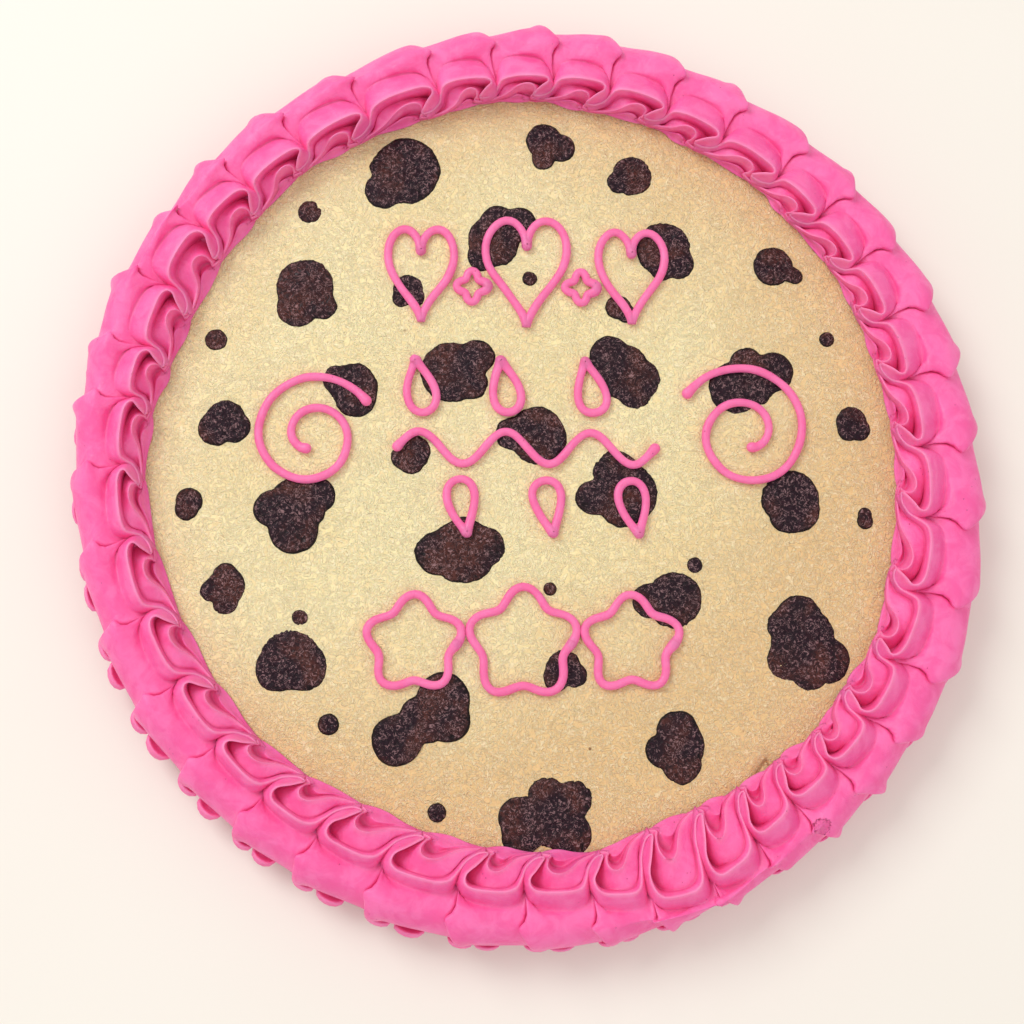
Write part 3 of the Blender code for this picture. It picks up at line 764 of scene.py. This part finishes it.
def border_form(turn):
    """Outer edge, waist, crest, fold and lean at each turn, as real sizes."""
    rows = []
    for k, row in enumerate(BORDER_FORM):
        angle = math.tau * k / len(BORDER_FORM)
        radii = []
        for radius, height in zip(row, BORDER_HEIGHTS):
            x, y, _ = seen(radius * math.cos(angle), radius * math.sin(angle), height)
            radii.append(math.hypot(x, y))
        rows.append((*radii, row[4]))
    form = np.array(rows)
    return [around(form[:, k], turn) for k in range(form.shape[1])]


def bell(value, width):
    """Smooth bump, 1 where the value is 0."""
    return np.exp(-(value / width) ** 2)


def hump(angle, stretch):
    """Smooth bump over a stretch of the ring, 1 at its middle."""
    middle, width = stretch
    return bell(np.degrees(np.angle(np.exp(1j * (angle - math.radians(middle))))), width)


def border_lines():
    """Lines around the ring, in order around the section of the rope.

    Each has its number of points, its painted light (1 a painted highlight on a thin rim, -1
    painted shade in a deep hollow) and line.
    """
    count = len(CREASES)
    knots = len(BAND_ALONG)
    total = count * STATIONS
    station = np.arange(total)
    shell = station // STATIONS
    knot = (station % STATIONS) * knots / STATIONS
    rng = random.Random(SEED)

    def track(values, step=0.0):
        """Smooth run through the knots of every shell; step is gained from shell to shell."""
        values = np.asarray(values, float)
        base = np.floor(knot).astype(int)
        around_it = (values[(base + k) % knots] + step * ((base + k) // knots)
                     for k in (-1, 0, 1, 2))
        return run(*around_it, knot - base)

    def spot(along, height=CREASE_HEIGHT):
        """Angle of a place in shells, moved so that the view sees it there at any height."""
        angle = crease_angle(math.pi + math.tau * along)
        aside = (height - CREASE_HEIGHT) / math.tan(math.radians(VIEW_ELEVATION))
        return angle + aside * np.sin(math.radians(VIEW_AZIMUTH) - angle) / RING

    band = shell + track(BAND_ALONG, 1.0)
    angle = spot(band)

    def drift():
        """Smooth chance run from shell to shell, from -1 to 1."""
        return around([rng.uniform(-1, 1) for _ in range(count)], band / count)

    # Chance drifts, each for a measure or two of the shells.
    w_outer, w_fold, w_crest, w_lean, w_frill, w_high, w_shape, w_low, w_peak, w_second = (
        drift() for _ in range(10))
    outer, waist, crest, fold, lean = border_form(angle / math.tau)
    loose = 0.40 * hump(angle, LOOSE_UPPER_LEFT) + hump(angle, LOOSE_LOWER_RIGHT)
    frilled = hump(angle, FRILLED)
    leaning = hump(angle, LEANING)
    shallow = hump(angle, SHALLOW)
    wide_foot = np.minimum(1.0, sum(hump(angle, stretch) for stretch in WIDE_FOOT))
    outer = outer + 0.5 * w_outer
    fold = fold + 0.9 * w_fold - 2.0 * loose
    crest = crest + 0.4 * w_crest + 7.0 * loose
    waist = waist + 6.2 * loose
    lean = lean + 0.05 * w_lean
    past = math.tau * (band - shell)
    level = np.zeros(total)

    # The crease's cut, the lobe that falls off after it, the lobe's edge that hangs back
    # over the crease, and the point where the lobe stands out most.
    cut = bell(past, 0.20) + bell(math.tau - past, 0.20)
    ends = (1 - bell(past, 0.35)) * (1 - bell(math.tau - past, 0.35))
    lobe = (1.0 - 1.9 * past / math.tau + 0.25 * np.sin(past)) * ends
    hook = bell(past - 0.35, 0.33)
    late = past - 0.36 - 0.12 * w_second
    peak = bell(late, np.where(late < 0, 0.17, 0.60)) * (0.75 + 0.6 * w_peak)

    def smooth(radius, height, out=0.0, up=0.0, depth=0.0, swell=0.0, along=0.0, over=0.0,
               point=0.0):
        """Line of the smooth band, which moves by out and up.

        depth is that of the crease, swell and point are the size of the lobe and of its
        peak, along moves the crease, and over is how far the lobe hangs back, in shells.
        """
        move = swell * lobe - depth * cut + point * peak
        where = spot(band + along - over * hook + 0.5 * over * cut, height)
        return radius + out * move, where, height + up * move + level

    def fin(points, outward=0.0, lift=0.0, ahead=0.0):
        """Line of a fin from its knots, moved outward, up or ahead."""
        along, out, height = (track([p[k] for p in points], 1.0 if k == 0 else 0.0)
                              for k in range(3))
        out = out + outward
        slant = (lean - 0.30) * (1.0 - np.clip(out, -0.2, 1.0)) + 0.06 * leaning
        radius = (fold + (crest - fold) * np.clip(out, 0, 1)
                  + (waist - crest) * np.maximum(out - 1, 0) + 4.0 * np.minimum(out, 0))
        return radius, spot(shell + along + slant + ahead, height), height + lift

    def thick(line, push, raised=0.0):
        """The same line moved sideways in plan by push, to one side of the sheet."""
        radius, where, height = line
        dr = np.zeros(total)
        dx = np.zeros(total)
        for step in (1, 2):
            dr += np.roll(radius, -step) - np.roll(radius, step)
            gap = np.roll(where, -step) - np.roll(where, step)
            gap[:step] += math.tau
            gap[-step:] += math.tau
            dx += gap * RING
        size = np.hypot(dr, dx)
        return radius + push * dx / size, where - push * dr / size / RING, height + raised

    def mix(a, b, share):
        """Line between two lines."""
        return tuple(p * (1 - share) + q * share for p, q in zip(a, b))

    rise = track([p[1] for p in RIM_A])
    lip = fin(LIP_FOOT)
    lip_half = FIN_HALF * (0.6 + 1.2 * np.clip(rise, 0, 1))
    thin_half = 0.9 * FIN_HALF
    rim_a = fin(RIM_A, 0.0, 0.4 * w_high)
    hollow_a = fin(HOLLOW_A, 0.0, 1.7 * shallow)
    rim_b = fin(RIM_B, 0.0, 0.4 * w_low, 0.04 * w_shape)
    side_b = fin(SIDE_B, 0.0, 1.3 * shallow, 0.04 * w_shape)
    hollow_b = fin(HOLLOW_B, 0.0, 0.8 * shallow, 0.04 * w_shape)
    rim_c = fin(RIM_C, 0.07 * (1 - wide_foot), 0.3 * w_second, 0.05 * w_peak)
    apron = fin(APRON, 0.32 * (1 - wide_foot), 0.0, 0.05 * w_peak)

    # Two frills for each shell: middle and half width in shells, reach and chance shift.
    share = past / math.tau
    puff = np.zeros(total)
    frill_side = np.zeros(total)
    reach = np.zeros(total)
    for middle, half, size, shift in ((0.19, 0.15, 0.6 + 2.8 * frilled, 0.03 * w_shape),
                                      (0.54, 0.17, 0.1 + 3.7 * frilled, 0.05 * w_peak)):
        off = (share - middle - shift) / half
        arc = np.sqrt(np.clip(1 - off ** 2, 0, 1))
        puff = puff + arc
        reach = reach + size * arc * (0.85 + 0.3 * w_frill)
        frill_side = frill_side + 0.07 * off * arc
    r_frill = outer - 1.7 + 1.7 * np.minimum(puff, 1) + reach
    r_brim = r_frill - 0.60 * reach
    frill_rim = (r_brim, spot(band + frill_side), 9.8 + (0.6 + 2.4 * frilled) * puff)
    frill_mid = (r_frill, spot(band + 0.95 * frill_side), 7.2 + 1.4 * frilled)
    frill_in = (r_brim - 0.9, spot(band + 0.9 * frill_side), 7.6 + 2.6 * frilled)

    slip = 1 - 0.8 * frilled
    dish = frilled * np.minimum(puff, 1)
    # The second number of each line is its painted light: below 0 painted shade in hollows,
    # valleys and under the rope, from 0.55 up a painted highlight on thin rims.
    return [
        (1, -0.3, smooth(COOKIE_RADIUS + 0.8, 12.0)),
        (1, -0.3, smooth(COOKIE_RADIUS + 2.0, 5.0)),
        (2, 0.0, (outer - 2.4 + 0.4 * reach, spot(band + 0.7 * frill_side), 4.5 + level)),
        (2, 0.0, frill_mid),
        (2, 0.8, thick(frill_rim, FRILL_HALF)),
        (2, 0.8, thick(frill_rim, -FRILL_HALF)),
        (2, -0.2, thick(frill_in, -FRILL_HALF)),
        (2, -0.2, smooth(outer - 2.4, 7.6 + 3.4 * dish)),
        (2, 0.0, smooth(outer - 1.6, 10.0 + 1.0 * dish, 1.0, 0.0, 0.5, 0.2, 0.20 * slip)),
        (2, 0.0, smooth(outer - 0.7, 12.8, 1.0, 0.1, 0.9, 0.4, 0.25 * slip, 0.02, 1.2)),
        (2, 0.0, smooth(outer - 0.7, 14.8, 0.9, 0.4, 1.2, 0.6, 0.24 * slip, 0.04, 1.4)),
        (3, 0.0, smooth(outer - 1.8, 18.0, 0.6, 0.8, 1.9, 1.1, 0.18 * slip, 0.08, 0.6)),
        (3, 0.0, smooth(outer - 4.2, 20.6, 0.3, 1.0, 2.2, 1.3, 0.07 * slip, 0.10)),
        (3, 0.1, smooth(0.5 * (outer + waist) - 0.4, 21.8, 0.1, 1.0, 2.4, 1.2, -0.02, 0.10)),
        (3, 0.0, smooth(waist + 2.6, 21.3, 0.1, 1.0, 2.3, 0.7, 0.05 + 0.05 * leaning,
                        0.06)),
        (3, -0.3, lip),
        (3, 0.0, thick(mix(lip, rim_a, 0.55), lip_half)),
        (3, 0.9, thick(rim_a, FIN_HALF)),
        (3, 1.0, thick(rim_a, -FIN_HALF)),
        (3, -0.3, thick(mix(hollow_a, rim_a, 0.5), -FIN_HALF)),
        (3, -0.8, hollow_a),
        (3, 0.0, side_b),
        (3, 0.8, thick(rim_b, thin_half)),
        (3, 0.8, thick(rim_b, -thin_half)),
        (2, -0.4, thick(mix(hollow_b, rim_b, 0.5), -thin_half)),
        (2, -0.8, hollow_b),
        (2, 0.3, thick(rim_c, thin_half)),
        (2, 0.3, thick(rim_c, -thin_half)),
        (2, 0.2, thick(apron, APRON_HALF)),
        (1, 0.0, thick(apron, -APRON_HALF, -0.5)),
        (1, 0.0, (apron[0] + 0.8, apron[1], apron[2] - 1.0)),
        (1, 0.0, smooth(COOKIE_RADIUS - 6.0, 14.1)),
    ]


def tear_place():
    """Real place of the middle of the torn patch."""
    return (*seen(*TEAR, TEAR_HEIGHT)[:2], TEAR_HEIGHT)


def tear(grid):
    """Press a small lumpy dent into the border where it is torn."""
    x, y, z = tear_place()
    gap = np.linalg.norm(grid[..., :3] - (x, y, z), axis=-1)
    inward = Vector((-x, -y, -math.hypot(x, y))).normalized()
    for j, i in zip(*np.nonzero(gap < 2 * TEAR_SIZE)):
        lump = noise.noise(Vector(grid[j, i, :3]) / TEAR_GRAIN)
        fade = math.exp(-(gap[j, i] / (TEAR_SIZE * (1 + 0.8 * lump))) ** 6)
        grid[j, i, :3] += np.array(inward) * fade * (TEAR_DEPTH - TEAR_LUMP * lump)


def build_border(material):
    """Closed smooth run through the lines, each with its number of points and its painted
    light.
    """
    lines = border_lines()
    shape = []
    for _, painted_light, (radius, where, height) in lines:
        shape.append(np.stack([radius * np.cos(where), radius * np.sin(where), height,
                               np.full(len(radius), painted_light)], 1))
    rows = len(shape)
    grid = []
    for j, (span, _, _) in enumerate(lines):
        for s in range(span):
            grid.append(run(*(shape[(j + k) % rows] for k in (-1, 0, 1, 2)), s / span))
    grid = np.array(grid)
    tear(grid)
    rows, count, _ = grid.shape
    index = np.arange(rows * count).reshape(rows, count)
    up = np.roll(index, -1, 0)
    faces = np.stack([index, np.roll(index, -1, 1), np.roll(up, -1, 1), up], -1)
    mesh = bpy.data.meshes.new("border_fine")
    mesh.from_pydata((grid[..., :3].reshape(-1, 3) * MM).tolist(), [],
                     faces.reshape(-1, 4).tolist())
    mesh.update()
    # Each point's painted light, which the icing turns into painted shade or painted
    # highlight.
    painted_lights = mesh.attributes.new("painted_light", "FLOAT", "POINT")
    painted_lights.data.foreach_set("value", np.clip(grid[..., 3], -1, 1).ravel())
    put("border_fine", mesh, material, ["border"])


# Piped ornament.

def heart(x, y, wide, tall, count=64):
    """Heart with its point down."""
    points = []
    for i in range(count):
        t = math.tau * (i + 0.5) / count
        px = wide / 2 * math.sin(t) ** 3
        py = 13 * math.cos(t) - 5 * math.cos(2 * t) - 2 * math.cos(3 * t) - math.cos(4 * t)
        points.append((x + px, y + tall * (py + 2.5) / 29))
    return points, True


def blossom(x, y, size, petals, depth, count=80):
    """Loop with rounded petals; depth is the share by which it dips between them."""
    points = []
    for i in range(count):
        t = math.tau * i / count
        r = size / 2 * (1 - depth + depth * math.cos(petals * (t - math.pi / 2)))
        points.append((x + r * math.cos(t), y + r * math.sin(t)))
    return points, True


def drop(x, y, wide, tall, turn, count=48):
    """Teardrop loop with its point turned to the given angle in degrees."""
    points = []
    ux = math.cos(math.radians(turn))
    uy = math.sin(math.radians(turn))
    for i in range(count):
        t = math.tau * (i + 0.5) / count
        px = tall / 2 * math.cos(t)
        py = wide / 2 * math.sin(t) * math.sin(t / 2) ** 1.2 * 1.25
        points.append((x + ux * px - uy * py, y + uy * px + ux * py))
    return points, True


def spiral(x, y, size, turns, start, mirror, count=110):
    """Spiral from the inside out; mirror is 1 or -1."""
    points = []
    for i in range(count):
        u = i / (count - 1)
        t = math.radians(start) + mirror * math.tau * turns * u
        r = size / 2 * (0.22 + 0.78 * u)
        points.append((x + r * math.cos(t), y + r * math.sin(t)))
    return points, False


def wave(x0, x1, y, rise, waves, count=110):
    """Wavy line from x0 to x1."""
    points = []
    for i in range(count):
        u = i / (count - 1)
        points.append((x0 + (x1 - x0) * u, y + rise * math.sin(math.tau * waves * u)))
    return points, False


def strokes():
    """Every separate stroke of the ornament as points and whether it is a closed loop."""
    found = {}
    for i, (x, y, wide, tall) in enumerate(HEARTS):
        found[f"heart_{i + 1}"] = heart(x, y, wide, tall)
    for i, x in enumerate(BUDS):
        found[f"bud_{i + 1}"] = blossom(x, BUD_ROW, BUD_SIZE, petals=4, depth=0.2, count=48)
    found["garland"] = wave(-38, 34, GARLAND_ROW, rise=4.6, waves=3)
    for i, (x, y, turn) in enumerate(LEAVES):
        found[f"leaf_{i + 1}"] = drop(x, y, LEAF_WIDE, LEAF_TALL, turn)
    found["scroll_left"] = spiral(-62, 8, size=36, turns=1.6, start=250, mirror=-1)
    found["scroll_right"] = spiral(60, 10, size=40, turns=1.6, start=290, mirror=1)
    for i, (x, size) in enumerate(FLOWERS):
        found[f"flower_{i + 1}"] = blossom(x, FLOWER_ROW, size, petals=5, depth=0.13)
    return found


def build_ornament(material):
    """Round beads that lie on the cookie, thicker where a stroke starts and stops."""
    rng = random.Random(SEED + 1)
    for name, (points, closed) in strokes().items():
        path = [Vector((x, y, 0.0)) for x, y in points]
        if closed:
            path.append(path[0].copy())
        seed = rng.uniform(0, 90)
        lengths = [0.0]
        for a, b in zip(path, path[1:]):
            lengths.append(lengths[-1] + (b - a).length)
        whole = lengths[-1]
        for p in path:
            p.x += WOBBLE * rough(p.x, p.y, WOBBLE_SIZE, seed)
            p.y += WOBBLE * rough(p.x, p.y, WOBBLE_SIZE, seed + 20)
        grid = []
        last = len(path) - 1
        for k, p in enumerate(path):
            ahead = (path[min(k + 1, last)] - path[max(k - 1, 0)]).normalized()
            side = Vector((-ahead.y, ahead.x, 0.0))
            gone = lengths[k]
            size = BEAD_RADIUS * (0.90 + 0.10 * rough(gone, seed, 7.0, 3.0))
            for (swell, reach), away in ((BEAD_START, gone), (BEAD_STOP, whole - gone)):
                size *= 1.0 + swell * math.exp(-(away / reach) ** 2)
            middle = COOKIE_HEIGHT + size * BEAD_FLAT - BEAD_SINK
            row = []
            for j in range(BEAD_SIDES):
                a = math.tau * j / BEAD_SIDES
                q = p + side * (size * math.cos(a))
                row.append((q.x, q.y, middle + size * BEAD_FLAT * math.sin(a)))
            grid.append(row)
        for end in (0, -1):
            centre = np.mean(grid[end], axis=0)
            towards = path[0] - path[1] if end == 0 else path[last] - path[last - 1]
            towards = np.array(towards) / np.linalg.norm(np.array(towards))
            ring = np.array(grid[end])
            size = np.linalg.norm(ring[0] - centre)
            for a in BEAD_CAP:
                cap = centre + (ring - centre) * math.cos(a) + towards * size * math.sin(a)
                if end == 0:
                    grid.insert(0, cap.tolist())
                else:
                    grid.append(cap.tolist())
        mesh = grid_mesh(name + "_fine", np.array(grid))
        mesh.flip_normals()
        put(name + "_fine", mesh, material, [name])


# Floor, light and camera.

def build_stage():
    """Pale floor, warm white surroundings and two soft lights."""
    bpy.ops.mesh.primitive_plane_add(size=FLOOR_SIZE)
    floor = bpy.context.object
    floor.name = "floor"
    floor.data.materials.append(floor_material())

    world = bpy.data.worlds.new("studio")
    bpy.context.scene.world = world
    world.use_nodes = True
    back = world.node_tree.nodes["Background"]
    back.inputs["Color"].default_value = WORLD_COLOUR
    back.inputs["Strength"].default_value = WORLD_STRENGTH

    for name, place, power, size in LIGHTS:
        light = bpy.data.lights.new(name, "AREA")
        light.energy = power
        light.size = size
        lamp = bpy.data.objects.new(name, light)
        lamp.location = place
        lamp.rotation_euler = (-Vector(place)).to_track_quat("-Z", "Y").to_euler()
        bpy.context.scene.collection.objects.link(lamp)


def build_camera():
    """Camera at the photo's viewpoint."""
    data = bpy.data.cameras.new("camera")
    data.lens = LENS
    data.sensor_width = SENSOR
    camera = bpy.data.objects.new("camera", data)
    bpy.context.scene.collection.objects.link(camera)
    across, up, back = view_axes()
    place = (np.array(VIEW_TARGET) + back * VIEW_RANGE) * MM
    turn = Matrix((across, up, back)).transposed().to_4x4()
    camera.matrix_world = Matrix.Translation(place) @ turn
    bpy.context.scene.camera = camera


build_camera()
icing = icing_material("pink_icing_fine", ICING_LIGHT, ICING_DEEP, border=True)
piping = icing_material("piped_icing_fine", PIPING_LIGHT, PIPING_DEEP)
build_cookie(crumb_material())
build_chips(chocolate_material())
build_border(icing)
build_ornament(piping)
build_stage()
bpy.context.scene.view_settings.view_transform = "Standard"
